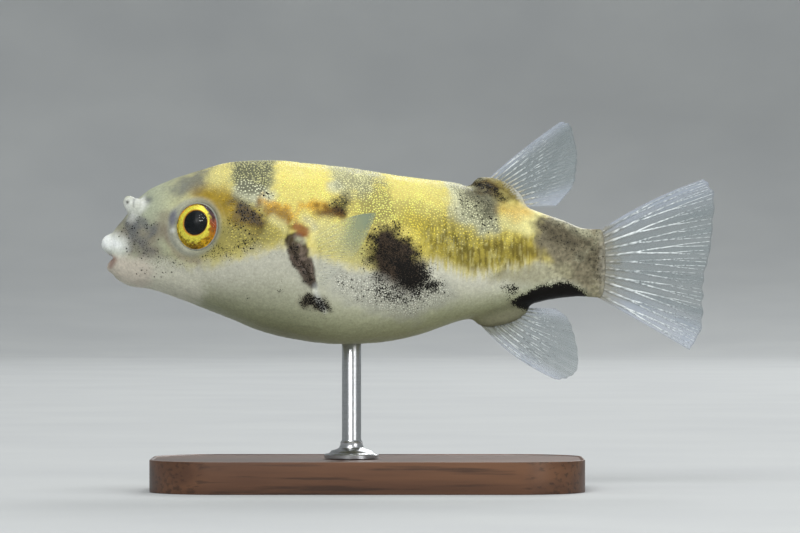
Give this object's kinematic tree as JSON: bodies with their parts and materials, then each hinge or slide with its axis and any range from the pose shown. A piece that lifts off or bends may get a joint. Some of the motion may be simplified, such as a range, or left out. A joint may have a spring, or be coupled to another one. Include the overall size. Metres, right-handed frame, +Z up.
{
  "type": "freshwater pufferfish model on display stand",
  "caption": "Life-size freshwater pufferfish with a blunt white-lipped snout, gold eyes, blotched yellow back and clear fins, held level by a rod on a flat wooden base.",
  "frame": {"origin": "on the floor under the middle of the whole object, fish and stand", "axes": "+Z up; the fish swims towards -X with its tail towards +X, its left side faces -Y and its right side +Y"},
  "size_m": [0.0768, 0.03, 0.0461],
  "materials": {
    "skin": "moist prickly skin, yellow above with black, brown and grey blotches, white below",
    "fin": "thin clear blue-grey membrane with paler branched rays",
    "eye": "polished clear cornea over a gold iris and a black pupil",
    "stand_wood": "dark walnut with a satin varnish",
    "stand_steel": "satin steel"
  },
  "bodies": {
    "root": {"head": "skin", "lower_jaw": "skin", "upper_lip": "skin", "lower_lip": "skin", "trunk": "skin", "tail_stalk": "skin", "dorsal_lobe": "skin", "anal_lobe": "skin", "dorsal_fin": "fin", "anal_fin": "fin", "tail_fin": "fin", "eye_left": "eye", "nostril_left": "skin", "pectoral_fin_left": "fin", "eye_right": "eye", "nostril_right": "skin", "pectoral_fin_right": "fin", "stand_base": "stand_wood", "stand_rod": "stand_steel"}
  },
  "joints": []
}
